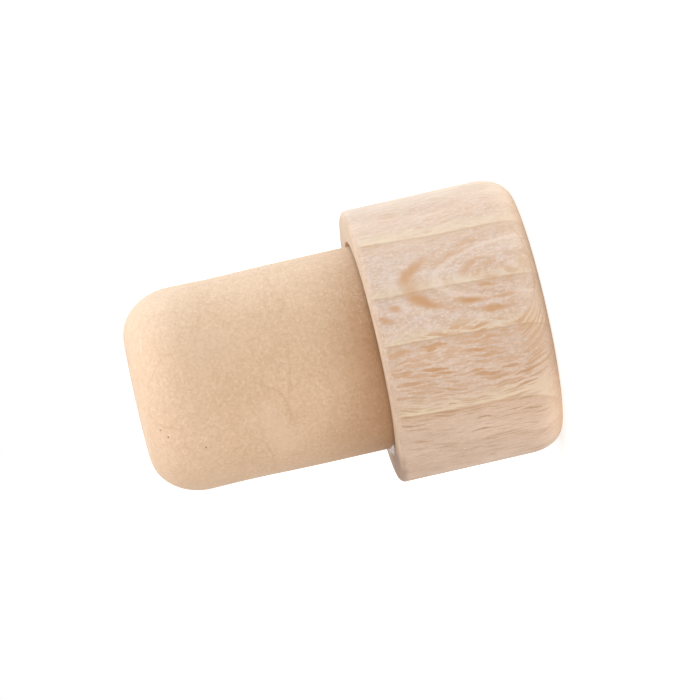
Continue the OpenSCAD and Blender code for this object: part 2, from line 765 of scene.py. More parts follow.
@dataclass(frozen=True)
class Beech:
    """Steamed beech, turned with the grain along the axis, sanded fine and left raw.

    To the eye it is a pale pinkish wood, matt, with faint yearly rings. Its rays show as small dark
    dashes on the sides that face away from the heart and as broad orange flecks on the sides where they
    lie flat. The pattern is solid, so that it meets at every edge. All lengths are in millimetres, and
    a fineness is to the millimetre.
    """

    wood: str = "#DCC2AC"
    wood_deep: str = "#C9AC94"
    lilac: str = "#DFD0C9"
    speck: str = "#E9D5C6"
    # Painted sheen: paler wood on the side towards the bark, which faces the light
    painted_sheen_colour: str = "#E9DCCF"
    ring_light: str = "#E3D0B3"
    ring_dark: str = "#C3A07E"
    ray_flat: str = "#CA9C72"
    ray_edge: str = "#AE896A"
    # Glue smear, darkened also as painted shade of the underside below the bead
    smear_and_shade: str = "#A88C7C"
    end_grain: str = "#DBC0A2"
    # Paler rounded edges and underside: partly wear, partly painted light where they catch the light
    worn_and_lit_edge: str = "#ECDAC1"
    # Painted shade in the socket's mouth
    painted_socket_shade: str = "#C29C72"

    heart_angle: float = 19.0
    drift: Mottle = Mottle((0.16, 0.16, 0.07), 1.0)
    drift_by: Triple = (0.9, 0.5, 0.0)

    tone: Mottle = Mottle((0.45, 0.45, 0.11), 3.0)
    fibre: Mottle = Mottle((8.0, 8.0, 1.1), 2.0)
    fibre_share: float = 0.42
    clouds: Mottle = Mottle((1.1, 1.1, 0.8), 3.0, (0.4, 0.65), (0.0, 0.5))
    cells: Mottle = Mottle((5.0, 5.0, 2.8), 3.0, (0.44, 0.7))
    pores: Mottle = Mottle((4.5, 4.5, 1.5), 2.0, (0.5, 0.66), (0.0, 0.55))
    # Where the painted sheen lies, outwards across the grain, and its strength
    sheen_band: Point = (9.0, 13.0)
    sheen_share: float = 0.28

    ring_edges: tuple[float, ...] = (12.3, 5.72, -0.36, -5.32, -11.2)
    ring_slope: float = 0.045
    ring_middle: float = 8.5
    ring_reach: float = 16.0
    ring_light_width: float = 0.9
    ring_dark_width: float = 0.16
    ring_sway: float = 2.4
    ring_waves: Mottle = Mottle((0.0, 0.32, 0.15), 1.5)
    ring_wear: Mottle = Mottle((0.5, 0.3, 0.3), 2.0, (0.36, 0.6), (0.6, 1.0))
    outer_rings: Point = (8.0, 11.5)

    # Where the socket's painted shade lies
    socket_radius: float = 10.9
    socket_blur: float = 0.1
    socket_from: float = 5.0
    # Where the smear and its painted shade lie
    smear_spot: Triple = (-12.4, -1.0, 17.0)
    smear_reach: Triple = (3.0, 7.0, 0.8)
    smear_fineness: float = 0.9
    smear_raggedness: float = 0.8
    smear_edge: Point = (1.5, 0.9)
    smear_share: float = 0.85

    fleck_spot: Point = (0.45, 2.0)
    fleck_squeeze: float = 2.7
    fleck_bends: float = 0.8
    fleck_bend: float = 0.7
    fleck_nest: float = 0.42
    fleck_ground: Point = (13.5, 10.5)
    fleck_fade: Point = (1.35, 0.2)
    flecks: tuple[Fleck, ...] = (
        Fleck(11.15, 0.95, -27.0, 24.0, 0.95),
        Fleck(11.4, 1.0, 20.0, 26.0, 0.85),
        Fleck(10.9, 0.8, -4.0, 14.0, 0.55),
        Fleck(5.3, 0.7, -48.0, 15.0, 0.85),
        Fleck(8.4, 0.75, -76.0, 11.0, 0.75),
        Fleck(9.0, 0.9, 43.0, 22.0, 0.5),
        Fleck(5.3, 0.7, 26.0, 36.0, 0.62),
        Fleck(7.0, 0.55, -50.0, 28.0, 0.3),
        Fleck(9.2, 1.15, -54.0, 13.0, 1.0),
        Fleck(11.5, 1.0, -74.0, 11.0, 0.9),
        Fleck(13.9, 0.6, -22.0, 6.0, 0.8),
        Fleck(16.0, 0.7, -29.0, 5.0, 0.8),
    )

    grain_bow: float = 384.0
    ray_course: Mottle = Mottle((0.14, 0.22, 0.3), 1.5)
    ray_waver: Triple = (0.0, 0.9, 2.0)
    ray_fineness: float = 3.5
    ray_fray: float = 0.12
    ray_patches: Mottle = Mottle((0.35, 0.35, 0.35), 1.0, (0.35, 0.6), (0.6, 1.0))
    ray_roundness: float = 1.3
    ray_core: float = 0.6
    ray_sets: tuple[RaySet, ...] = (
        RaySet((0.34, 4.2), 0.14, 0.46, 1.0, 0.2, 0.0),
        RaySet((0.28, 3.4), 0.14, 0.44, 0.9, 0.2, 37.3),
        RaySet((0.22, 2.4), 0.14, 0.4, 0.6, 0.8, 71.6),
    )

    roughness: float = 0.7
    ior: float = 1.45
    relief: Mottle = Mottle((6.0, 6.0, 1.2), 3.0)
    relief_depth: float = 0.04
    relief_strength: float = 0.5

    def build(self) -> bpy.types.Material:
        """Make the material.

        Returns:
            The material, named for the wood.
        """
        shading = Shading.new("steamed_beech")
        place = shading.add("ShaderNodeTexCoord")
        grain = self._grain(shading, place)
        facing = self._facing(shading, place)
        light, dark = self._rings(shading, grain, facing)
        rays = self._rays(shading, grain, facing)
        flecks, pale_arcs = self._flecks(shading, grain, facing)
        marks = shading.add("ShaderNodeMath", {0: rays, 1: flecks}, operation="MAXIMUM")
        ray_colour = shading.add(
            "ShaderNodeMix",
            {"Factor": facing.flat, "A": linear(self.ray_edge), "B": linear(self.ray_flat)},
            data_type="RGBA",
        )
        # Of these coats, the edge coat is partly painted light, the socket coat painted shade and the smear
        # coat partly painted shade
        coats = (
            (light, linear(self.ring_light)),
            (dark, linear(self.ring_dark)),
            (pale_arcs, linear(self.speck)),
            (marks, ray_colour),
            (facing.edge, linear(self.worn_and_lit_edge)),
            (facing.end, linear(self.end_grain)),
            (self._socket_shade(shading, place), linear(self.painted_socket_shade)),
            (self._smear_and_shade(shading, place), linear(self.smear_and_shade)),
        )
        surface = shading.add(
            "ShaderNodeBsdfPrincipled",
            {
                "Base Color": shading.coated(self._wood(shading, grain, facing), *coats),
                "Roughness": self.roughness,
                "IOR": self.ior,
                "Normal": self._bump(shading, grain, marks),
            },
        )
        return shading.finish(surface)

    def _grain(self, shading: Shading, place: Node) -> Node:
        """The wood's own coordinates: outwards from the heart, across and along the grain.

        Args:
            shading: the material.
            place: its Texture Coordinate node.

        Returns:
            A vector in millimetres, bent a little so that the grain is never quite straight.
        """
        turned = shading.add(
            "ShaderNodeMapping",
            {
                "Vector": place.outputs["Object"],
                "Rotation": (0.0, 0.0, -math.radians(self.heart_angle)),
                "Scale": (PER_METRE, PER_METRE, PER_METRE),
            },
        )
        drift = self.drift.noise(shading, turned)
        bend = shading.add(
            "ShaderNodeVectorMath", {0: drift.outputs["Color"], 1: MIDDLING}, operation="SUBTRACT"
        )
        shift = shading.add("ShaderNodeVectorMath", {0: bend, 1: self.drift_by}, operation="MULTIPLY")
        return shading.add("ShaderNodeVectorMath", {0: turned, 1: shift}, operation="ADD")

    def _facing(self, shading: Shading, place: Node) -> Facing:
        """Tell from the way that the surface faces how it cuts the grain.

        Args:
            shading: the material.
            place: its Texture Coordinate node.

        Returns:
            The amounts for every part of the surface.
        """
        angle = math.radians(self.heart_angle)
        across = (math.sin(angle), -math.cos(angle), 0.0)
        towards_bark = (math.cos(angle), math.sin(angle), 0.0)
        normal = place.outputs["Normal"]
        lie = shading.add("ShaderNodeVectorMath", {0: normal, 1: across}, operation="DOT_PRODUCT")
        outward = shading.add("ShaderNodeVectorMath", {0: normal, 1: towards_bark}, operation="DOT_PRODUCT")
        parts = shading.add("ShaderNodeSeparateXYZ", {0: normal})
        side, bark, up = lie.outputs["Value"], outward.outputs["Value"], parts.outputs["Z"]
        lying = shading.add("ShaderNodeMath", {0: side}, operation="ABSOLUTE")
        upright = shading.add("ShaderNodeMath", {0: up}, operation="ABSOLUTE")
        # What each amount goes by, the two limits that it changes between, and the amount at each
        turns = {
            "flat": (lying, 0.45, 0.9, 0.0, 1.0),
            "cut": (lying, 0.965, 0.94, 0.0, 1.0),
            "square": (lying, 0.75, 0.5, 1.0, 0.85),
            "few": (lying, 0.75, 0.5, 0.0, 0.55),
            "leaning": (lying, 0.6, 0.8, 0.0, 0.14),
            "front": (side, 0.7, 0.86, 0.0, 1.0),
            "bark": (bark, 0.1, 0.4, 0.0, 1.0),
            "heart": (bark, -0.36, -0.42, 1.0, 0.5),
            "cross": (upright, 0.25, 0.7, 0.0, 1.0),
            "end": (up, -0.6, -0.95, 0.0, 0.6),
            # The top edge and the underside: paler partly for wear and partly as painted light where
            # rounded edges catch the light
            "top rise": (up, -0.08, -0.35, 0.0, 1.0),
            "top fall": (upright, 0.85, 0.5, 0.0, 0.2),
            "underside": (up, 0.8, 0.98, 0.0, 0.25),
            "rim rise": (up, 0.08, 0.35, 0.0, 0.8),
            "rim fall": (up, 0.995, 0.95, 0.0, 1.0),
        }
        amount = {
            name: shading.add(
                "ShaderNodeMapRange",
                {"Value": value, "From Min": start, "From Max": end, "To Min": low, "To Max": high},
            )
            for name, (value, start, end, low, high) in turns.items()
        }
        heart_side = shading.add("ShaderNodeMath", {0: 1.0, 1: amount["heart"]}, operation="SUBTRACT")
        products = (
            (amount["cut"], amount["square"]),
            (amount["leaning"], heart_side),
            (amount["top rise"], amount["top fall"]),
            (amount["rim rise"], amount["rim fall"]),
        )
        cut, swell, top_edge, rubbed = (
            shading.add("ShaderNodeMath", {0: one, 1: other}, operation="MULTIPLY")
            for one, other in products
        )
        return Facing(
            flat=amount["flat"],
            cut=cut,
            few=amount["few"],
            swell=swell,
            bark=amount["bark"],
            heart=amount["heart"],
            front=amount["front"],
            cross=amount["cross"],
            end=amount["end"],
            edge=shading.add(
                "ShaderNodeMath", {0: top_edge, 1: amount["underside"]}, operation="MAXIMUM"
            ),
            rim=shading.add("ShaderNodeMath", {0: 1.0, 1: rubbed}, operation="SUBTRACT"),
        )

    def _socket_shade(self, shading: Shading, place: Node) -> Node:
        """Painted shade in the socket and at its mouth, where the chamfer lies in shade.

        Args:
            shading: the material.
            place: its Texture Coordinate node.

        Returns:
            1 within the socket and 0 outside.
        """
        level = shading.add(
            "ShaderNodeVectorMath",
            {0: place.outputs["Object"], 1: (PER_METRE, PER_METRE, 0.0)},
            operation="MULTIPLY",
        )
        away = shading.add("ShaderNodeVectorMath", {0: level}, operation="LENGTH")
        inside = shading.add(
            "ShaderNodeMapRange",
            {
                "Value": away.outputs["Value"],
                "From Min": self.socket_radius + self.socket_blur,
                "From Max": self.socket_radius - self.socket_blur,
            },
        )
        height = shading.add("ShaderNodeSeparateXYZ", {0: place.outputs["Object"]})
        upper = shading.add(
            "ShaderNodeMath",
            {0: height.outputs["Z"], 1: self.socket_from * MM},
            operation="GREATER_THAN",
        )
        return shading.add("ShaderNodeMath", {0: inside, 1: upper}, operation="MULTIPLY")

    def _smear_and_shade(self, shading: Shading, place: Node) -> Node:
        """Glue wiped over the wood below the bead and over the edge beside it, drawn darker both as the
        smear and as painted shade of the underside there.

        Args:
            shading: the material.
            place: its Texture Coordinate node.

        Returns:
            How much of it covers the wood.
        """
        away = shading.add(
            "ShaderNodeVectorMath",
            {0: place.outputs["Object"], 1: tuple(c * MM for c in self.smear_spot)},
            operation="SUBTRACT",
        )
        flat = shading.add(
            "ShaderNodeVectorMath",
            {0: away, 1: tuple(PER_METRE / reach for reach in self.smear_reach)},
            operation="MULTIPLY",
        )
        reach = shading.add("ShaderNodeVectorMath", {0: flat}, operation="LENGTH")
        patchy = shading.add(
            "ShaderNodeTexNoise",
            {"Vector": place.outputs["Object"], "Scale": self.smear_fineness * PER_METRE, "Detail": 3.0},
        )
        edge = shading.add(
            "ShaderNodeMath",
            {0: patchy, 1: self.smear_raggedness, 2: reach.outputs["Value"]},
            operation="MULTIPLY_ADD",
        )
        return shading.add(
            "ShaderNodeMapRange",
            {
                "Value": edge,
                "From Min": self.smear_edge[0],
                "From Max": self.smear_edge[1],
                "To Max": self.smear_share,
            },
        )

    def _wood(self, shading: Shading, grain: Node, facing: Facing) -> Node:
        """The plain wood between the marks.

        Args:
            shading: the material.
            grain: the wood's coordinates.
            facing: how the surface cuts the grain.

        Returns:
            Its colour: slow changes of tone, fine fibre lines, lilac clouds where the rays lie flat,
            bright cells, a painted sheen that makes the wood paler on the side towards the bark, which
            faces the light, and open pores where the fibres end. Real fibres are 0.02 mm wide and pores
            0.06 mm, so they are drawn as coarse as 0.15 and 0.2 mm.
        """
        tone, fibre = (mottle.noise(shading, grain) for mottle in (self.tone, self.fibre))
        both = shading.add(
            "ShaderNodeMix", {"Factor": self.fibre_share, "A": tone, "B": fibre}, data_type="FLOAT"
        )
        depth = shading.add("ShaderNodeMapRange", {"Value": both, "From Min": 0.36, "From Max": 0.64})
        calm = shading.add("ShaderNodeMapRange", {"Value": facing.bark, "To Min": 1.0, "To Max": 0.35})
        figured = shading.folded("MULTIPLY", calm, facing.heart, facing.flat)
        lively = shading.add("ShaderNodeMapRange", {"Value": figured, "To Min": 0.25, "To Max": 0.8})
        parts = shading.add("ShaderNodeSeparateXYZ", {0: grain})
        # Painted sheen on the side that faces the light
        outer = shading.add(
            "ShaderNodeMapRange",
            {
                "Value": parts.outputs["X"],
                "From Min": self.sheen_band[0],
                "From Max": self.sheen_band[1],
                "To Max": self.sheen_share,
            },
        )
        patches = ((self.clouds, figured), (self.cells, lively), (self.pores, facing.cross))
        clouded, speckled, open_end = (
            shading.add(
                "ShaderNodeMath", {0: mottle.shown(shading, grain), 1: where}, operation="MULTIPLY"
            )
            for mottle, where in patches
        )
        coats = (
            (depth, linear(self.wood_deep)),
            (clouded, linear(self.lilac)),
            (speckled, linear(self.speck)),
            (outer, linear(self.painted_sheen_colour)),
            (open_end, linear(self.ring_dark)),
        )
        return shading.coated(linear(self.wood), *coats)

    def _rings(self, shading: Shading, grain: Node, facing: Facing) -> tuple[Socket, Socket]:
        """The yearly rings: a light band on the outer side of each edge and a dark line beneath it.

        Args:
            shading: the material.
            grain: the wood's coordinates.
            facing: how the surface cuts the grain.

        Returns:
            How much of the light and of the dark colour shows.
        """
        parts = shading.add("ShaderNodeSeparateXYZ", {0: grain})
        lean = shading.add(
            "ShaderNodeMath",
            {0: parts.outputs["Z"], 1: -self.ring_slope, 2: self.ring_slope * self.ring_middle},
            operation="MULTIPLY_ADD",
        )
        upright = shading.add("ShaderNodeMath", {0: parts.outputs["X"], 1: lean}, operation="ADD")
        waves = self.ring_waves.noise(shading, grain)
        centred = shading.add("ShaderNodeMath", {0: waves, 1: 0.5}, operation="SUBTRACT")
        outmost = {
            "Value": parts.outputs["X"],
            "From Min": self.outer_rings[0],
            "From Max": self.outer_rings[1],
        }
        sway = shading.add("ShaderNodeMapRange", {**outmost, "To Max": self.ring_sway})
        outward = shading.add(
            "ShaderNodeMath", {0: centred, 1: sway, 2: upright}, operation="MULTIPLY_ADD"
        )
        share = shading.add(
            "ShaderNodeMapRange",
            {"Value": outward, "From Min": -self.ring_reach, "From Max": self.ring_reach},
        )
        bands = ramp_stops(shading.add("ShaderNodeValToRGB", {0: share}), self._ring_stops())
        shown = self.ring_wear.shown(shading, grain)
        hidden = shading.add("ShaderNodeMapRange", {"Value": facing.cross, "To Min": 1.0, "To Max": 0.5})
        fainter = shading.add("ShaderNodeMapRange", {**outmost, "To Min": 1.0, "To Max": 0.5})
        kept = shading.folded("MULTIPLY", hidden, fainter, facing.rim, shown)
        worn = shading.add("ShaderNodeVectorMath", {0: bands, "Scale": kept}, operation="SCALE")
        amounts = shading.add("ShaderNodeSeparateXYZ", {0: worn})
        return amounts.outputs[0], amounts.outputs[1]

    def _ring_stops(self) -> list[tuple[float, tuple[float, ...]]]:
        """Stops of the rings' ramp, from the heart to the bark.

        Returns:
            The place of each stop, as a share of the ramp, and its amounts of the light and of the
            dark colour, as red and green.
        """
        stops = []
        dark = self.ring_dark_width / (2 * self.ring_reach)
        light = self.ring_light_width / (2 * self.ring_reach)
        for edge in sorted(self.ring_edges):
            at = (edge + self.ring_reach) / (2 * self.ring_reach)
            stops += [
                (at - 10.0 * dark, (0.0, 0.0, 0.0, 1.0)),
                (at - 1.4 * dark, (0.0, 0.3, 0.0, 1.0)),
                (at - 0.3 * dark, (0.0, 0.85, 0.0, 1.0)),
                (at + 0.3 * dark, (0.8, 0.0, 0.0, 1.0)),
                (at + 0.5 * light, (0.6, 0.0, 0.0, 1.0)),
                (at + 1.6 * light, (0.0, 0.0, 0.0, 1.0)),
            ]
        return stops

    def _bowed(self, shading: Shading, grain: Node) -> Node:
        """Add the slow bow of the grain, which curves every ray.

        Args:
            shading: the material.
            grain: the wood's coordinates.

        Returns:
            The bowed coordinates.
        """
        parts = shading.add("ShaderNodeSeparateXYZ", {0: grain})
        above = shading.add(
            "ShaderNodeMath", {0: parts.outputs["Z"], 1: self.fleck_spot[1]}, operation="SUBTRACT"
        )
        squared = shading.add("ShaderNodeMath", {0: above, 1: above}, operation="MULTIPLY")
        across = shading.add(
            "ShaderNodeMath",
            {0: squared, 1: 1 / self.grain_bow, 2: parts.outputs["Y"]},
            operation="MULTIPLY_ADD",
        )
        return shading.add(
            "ShaderNodeCombineXYZ",
            {"X": parts.outputs["X"], "Y": across, "Z": parts.outputs["Z"]},
        )

    def _rays(self, shading: Shading, grain: Node, facing: Facing) -> Node:
        """The small rays, as lens-shaped cells that waver as they run outwards.

        Args:
            shading: the material.
            grain: the wood's coordinates.
            facing: how the surface cuts the grain.

        Returns:
            1 inside a ray and 0 outside.
        """
        bowed = self._bowed(shading, grain)
        waver = self.ray_course.noise(shading, bowed)
        push = shading.add(
            "ShaderNodeVectorMath",
            {
                0: waver.outputs["Color"],
                1: self.ray_waver,
                2: tuple(-0.5 * most for most in self.ray_waver),
            },
            operation="MULTIPLY_ADD",
        )
        moved = shading.add("ShaderNodeVectorMath", {0: bowed, 1: push}, operation="ADD")
        parts = shading.add("ShaderNodeSeparateXYZ", {0: moved})
        face = shading.add("ShaderNodeCombineXYZ", {"X": parts.outputs["Y"], "Y": parts.outputs["Z"]})
        ragged = shading.add(
            "ShaderNodeTexNoise", {"Vector": grain, "Scale": self.ray_fineness, "Detail": 2.0}
        )
        fray = shading.add(
            "ShaderNodeMapRange", {"Value": ragged, "To Min": -self.ray_fray, "To Max": self.ray_fray}
        )
        swelled = shading.add("ShaderNodeMath", {0: fray, 1: facing.swell}, operation="SUBTRACT")
        amounts = [self._ray_set(shading, rays, face, swelled, facing) for rays in self.ray_sets]
        crowd = self.ray_patches.shown(shading, grain)
        all_rays = shading.folded("MAXIMUM", *amounts)
        return shading.folded("MULTIPLY", all_rays, crowd, facing.rim, facing.cut)

    def _ray_set(self, shading: Shading, rays: RaySet, face: Node, swelled: Node, facing: Facing) -> Node:
        """The rays of one size.

        Args:
            shading: the material.
            rays: their size and strength.
            face: place in the plane that the rays are seen in, across and along the grain.
            swelled: how much narrower the rays are drawn, as a share of a cell.
            facing: how the surface cuts the grain.

        Returns:
            Their strength inside a ray and 0 outside.
        """
        cells = shading.add(
            "ShaderNodeMapping",
            {
                "Vector": face,
                "Scale": (1 / rays.cell[0], 1 / rays.cell[1], 1.0),
                "Location": (rays.seed, rays.seed, 0.0),
            },
        )
        lens = shading.add(
            "ShaderNodeTexVoronoi",
            {"Vector": cells, "Scale": 1.0, "Exponent": self.ray_roundness},
            voronoi_dimensions="2D",
            distance="MINKOWSKI",
        )
        chance = shading.add("ShaderNodeSeparateColor", {0: lens.outputs["Color"]})
        size = shading.add(
            "ShaderNodeMapRange",
            {"Value": chance.outputs[0], "To Min": rays.smallest, "To Max": rays.largest},
        )
        rough = shading.add("ShaderNodeMath", {0: lens.outputs["Distance"], 1: swelled}, operation="ADD")
        core = shading.add("ShaderNodeMath", {0: size, 1: self.ray_core}, operation="MULTIPLY")
        kept = shading.add(
            "ShaderNodeMath", {0: chance.outputs[2], 1: facing.few}, operation="GREATER_THAN"
        )
        depth = shading.add("ShaderNodeMapRange", {"Value": chance.outputs[1], "To Min": 0.4})
        amount = shading.add(
            "ShaderNodeMapRange", {"Value": rough, "From Min": size, "From Max": core, "To Max": depth}
        )
        side = shading.add(
            "ShaderNodeMapRange",
            {"Value": facing.bark, "To Min": rays.strength, "To Max": rays.strength * rays.bark_share},
        )
        return shading.folded("MULTIPLY", amount, kept, side)

    def _flecks(self, shading: Shading, grain: Node, facing: Facing) -> tuple[Node, Node]:
        """The broad flecks that bend round one spot.

        Args:
            shading: the material.
            grain: the wood's coordinates.
            facing: how the surface cuts the grain.

        Returns:
            1 inside a fleck and 0 outside, and how much of the pale arcs between the flecks shows.
        """
        bends = shading.add(
            "ShaderNodeTexNoise", {"Vector": grain, "Scale": self.fleck_bends, "Detail": 2.0}
        )
        wave = shading.add(
            "ShaderNodeVectorMath", {0: bends.outputs["Color"], 1: MIDDLING}, operation="SUBTRACT"
        )
        shift = shading.add("ShaderNodeVectorMath", {0: wave, "Scale": self.fleck_bend}, operation="SCALE")
        moved = shading.add("ShaderNodeVectorMath", {0: grain, 1: shift}, operation="ADD")
        parts = shading.add("ShaderNodeSeparateXYZ", {0: moved})
        outward = shading.add(
            "ShaderNodeMath",
            {0: parts.outputs["X"], 1: self.fleck_squeeze, 2: -self.fleck_squeeze * self.fleck_spot[0]},
            operation="MULTIPLY_ADD",
        )
        along = shading.add(
            "ShaderNodeMath", {0: parts.outputs["Z"], 1: self.fleck_spot[1]}, operation="SUBTRACT"
        )
        flat = shading.add("ShaderNodeCombineXYZ", {"X": outward, "Y": along})
        radius = shading.add("ShaderNodeVectorMath", {0: flat}, operation="LENGTH").outputs["Value"]
        direction = shading.add("ShaderNodeMath", {0: outward, 1: along}, operation="ARCTAN2")
        polar = shading.add("ShaderNodeCombineXYZ", {"X": radius, "Y": direction})
        nest = shading.add(
            "ShaderNodeTexNoise",
            {"W": radius, "Scale": self.fleck_nest, "Detail": 1.0},
            noise_dimensions="1D",
        )
        arcs = shading.add(
            "ShaderNodeMapRange", {"Value": nest, "From Min": 0.48, "From Max": 0.58, "To Max": 0.42}
        )
        between = shading.add(
            "ShaderNodeMapRange", {"Value": nest, "From Min": 0.46, "From Max": 0.36, "To Max": 0.45}
        )
        broken = shading.add("ShaderNodeMapRange", {"Value": bends, "From Min": 0.42, "From Max": 0.58})
        inner = shading.add(
            "ShaderNodeMapRange",
            {"Value": radius, "From Min": self.fleck_ground[0], "From Max": self.fleck_ground[1]},
        )
        marks = [shading.folded("MULTIPLY", broken, inner, arcs)]
        for fleck in self.flecks:
            scale = (1 / fleck.half_width, 1 / math.radians(fleck.half_angle), 1.0)
            middle = (-fleck.radius * scale[0], -math.radians(fleck.direction) * scale[1], 0.0)
            local = shading.add(
                "ShaderNodeMapping", {"Vector": polar, "Scale": scale, "Location": middle}
            )
            reach = shading.add("ShaderNodeVectorMath", {0: local}, operation="LENGTH")
            mark = shading.add(
                "ShaderNodeMapRange",
                {
                    "Value": reach.outputs["Value"],
                    "From Min": self.fleck_fade[0],
                    "From Max": self.fleck_fade[1],
                    "To Max": fleck.strength,
                },
                interpolation_type="SMOOTHSTEP",
            )
            marks.append(mark)
        largest = shading.folded("MAXIMUM", *marks)
        flecks = shading.add("ShaderNodeMath", {0: largest, 1: facing.front}, operation="MULTIPLY")
        pale_arcs = shading.folded("MULTIPLY", between, inner, facing.front)
        return flecks, pale_arcs

    def _bump(self, shading: Shading, grain: Node, marks: Node) -> Node:
        """Fine relief: open fibres between the rays, and smooth rays.

        Args:
            shading: the material.
            grain: the wood's coordinates.
            marks: 1 inside a ray.

        Returns:
            The bent normal.
        """
        rough = self.relief.noise(shading, grain)
        calm = shading.add("ShaderNodeMath", {0: 1.0, 1: marks}, operation="SUBTRACT")
        height = shading.add("ShaderNodeMath", {0: rough, 1: calm}, operation="MULTIPLY")
        return shading.add(
            "ShaderNodeBump",
            {"Height": height, "Strength": self.relief_strength, "Distance": self.relief_depth * MM},
        )


@dataclass(frozen=True)
class Crowd:
    """A spot on the skin where bright grains crowd, or where the whole skin is paler.

    It has its height, its place round the axis in degrees, its reach and its strength.
    """

    height: float
    angle: float
    reach: float
    strength: float


@dataclass(frozen=True)
class Seam:
    """A hairline seam that bends round a spot on the skin.

    The spot has a height and a place round the axis in degrees. The seam keeps one distance from it
    and has a direction from it, in degrees with 0 towards the tip, half the angle that it takes up,
    and a strength.
    """

    height: float
    angle: float
    radius: float
    direction: float
    half_angle: float
    strength: float


@dataclass(frozen=True)
class Cork:
    """Fine ground cork, pressed with a binder and sanded smooth.

    To the eye it is an even tan, dull, with a fine mottle of pressed grains a few tenths of a
    millimetre wide, scattered bright grains, and hairline seams where the grains were pressed together
    in lumps. Next to the joint it is darker, as painted shade that reaches furthest on the underside,
    away from the light, with a dark painted shadow line at the joint itself. Towards the tip it is
    lighter, as painted light, and its pits are painted dark inside, as painted shade. All lengths are
    in millimetres, and a fineness is to the millimetre.
    """

    body: str = "#DCBC9C"
    body_deep: str = "#D0AF8E"
    grain_light: str = "#E6CAB1"
    grain_bright: str = "#F5E8D8"
    seam: str = "#BD936B"
    # Painted shade inside the pits
    pit: str = "#80614A"
    # Painted shade next to the joint, and a painted shadow line right at the joint
    painted_root_shade: str = "#CBB39A"
    painted_joint_shadow: str = "#8A6E43"

    # Painted light, added to the cork towards its tip
    painted_tip_light: str = "#524E4C"
    tip_light_band: Point = (32.5, 41.0)

    grain_size: float = 0.25
    grain_fineness: float = 3.6
    grain_crumple: float = 0.5
    grain_share: float = 0.35
    tone_fineness: float = 0.22
    tone_share: float = 0.35
    bright_spacing: float = 0.25
    bright_patches: Mottle = Mottle((0.16, 0.16, 0.16), 1.0, (0.35, 0.7), (0.05, 0.22))
    bright_strength: Point = (0.2, 0.54)
    crowd_size: float = 0.52
    lump_size: float = 7.5
    lump_wander: float = 3.0
    lump_bends: float = 0.3
    lump_seam: float = 0.16
    seam_width: float = 0.22
    seam_waver: float = 0.6
    seam_waves: float = 1.6
    joint_height: float = 17.0
    # Width and strength of the dark painted shadow line in the gap at the joint
    joint_shadow_width: float = 0.3
    joint_shadow_share: float = 0.35
    # Reach and strength of the painted shade next to the joint: longer on the underside, away from the
    # light, weaker on the lit upper side
    root_shade_reach: float = 7.0
    root_shade_run: float = 6.0
    root_shade_run_from: float = 0.35
    root_shade_share: float = 0.67
    root_shade_lit_side: float = 0.25
    crowds: tuple[Crowd, ...] = (
        Crowd(19.5, -62.0, 6.0, 1.0),
        Crowd(36.4, -75.0, 1.2, 0.8),
        Crowd(37.2, -105.0, 1.2, 0.9),
    )
    pale_spots: tuple[Crowd, ...] = (
        Crowd(29.6, -115.0, 2.4, 0.28),
        Crowd(28.6, -126.0, 2.4, 0.32),
        Crowd(28.2, -138.0, 2.2, 0.28),
        Crowd(23.0, -80.0, 3.0, 0.06),
        Crowd(33.0, -70.0, 3.5, 0.2),
    )
    seams: tuple[Seam, ...] = (
        Seam(30.3, -115.1, 3.5, 157.0, 60.0, 0.36),
        Seam(55.5, -61.7, 30.0, -168.0, 10.0, 0.22),
        Seam(38.6, -150.0, 9.4, 168.0, 13.0, 0.28),
        Seam(32.2, -140.0, 1.5, 60.0, 45.0, 0.26),
        Seam(47.0, -30.0, 14.0, -165.0, 16.0, 0.22),
    )

    roughness: float = 0.62
    ior: float = 1.4
    relief_depth: float = 0.03
    relief_strength: float = 0.35

    def build(self) -> bpy.types.Material:
        """Make the material.

        Returns:
            The material, named for the cork.
        """
        shading = Shading.new("pressed_fine_cork")
        place = shading.add("ShaderNodeTexCoord")
        body = shading.add(
            "ShaderNodeMapping",
            {"Vector": place.outputs["Object"], "Scale": (PER_METRE, PER_METRE, PER_METRE)},
        )
        skin = self._skin(shading, body)
        colour, relief = self._grains(shading, body)
        colour = self._paler(shading, skin, colour)
        # Painted shade next to the joint
        colour = self._painted_root_shade(shading, body, colour)
        colour = self._bright(shading, body, skin, colour)
        colour = self._seams(shading, body, skin, colour)
        # Painted shade inside the pits
        pits = shading.add("ShaderNodeAttribute", attribute_name=Piercer.ATTRIBUTE)
        colour = shading.add(
            "ShaderNodeMix",
            {"Factor": pits.outputs["Fac"], "A": colour, "B": linear(self.pit)},
            data_type="RGBA",
        )
        bump = shading.add(
            "ShaderNodeBump",
            {"Height": relief, "Strength": self.relief_strength, "Distance": self.relief_depth * MM},
        )
        surface = shading.add(
            "ShaderNodeBsdfPrincipled",
            {"Base Color": colour, "Roughness": self.roughness, "IOR": self.ior, "Normal": bump},
        )
        return shading.finish(surface)

    @staticmethod
    def _skin(shading: Shading, body: Node) -> Node:
        """Unroll the skin.

        Args:
            shading: the material.
            body: place in millimetres.

        Returns:
            The angle round the axis times the skin's radius, and the height.
        """
        parts = shading.add("ShaderNodeSeparateXYZ", {0: body})
        angle = shading.add(
            "ShaderNodeMath", {0: parts.outputs["Y"], 1: parts.outputs["X"]}, operation="ARCTAN2"
        )
        round_it = shading.add("ShaderNodeMath", {0: angle, 1: SKIN_RADIUS}, operation="MULTIPLY")
        return shading.add("ShaderNodeCombineXYZ", {"X": round_it, "Y": parts.outputs["Z"]})

    @staticmethod
    def _away(shading: Shading, skin: Node, height: float, angle: float) -> Node:
        """The skin's coordinates counted from one spot."""
        spot = (math.radians(angle) * SKIN_RADIUS, height, 0.0)
        return shading.add("ShaderNodeVectorMath", {0: skin, 1: spot}, operation="SUBTRACT")

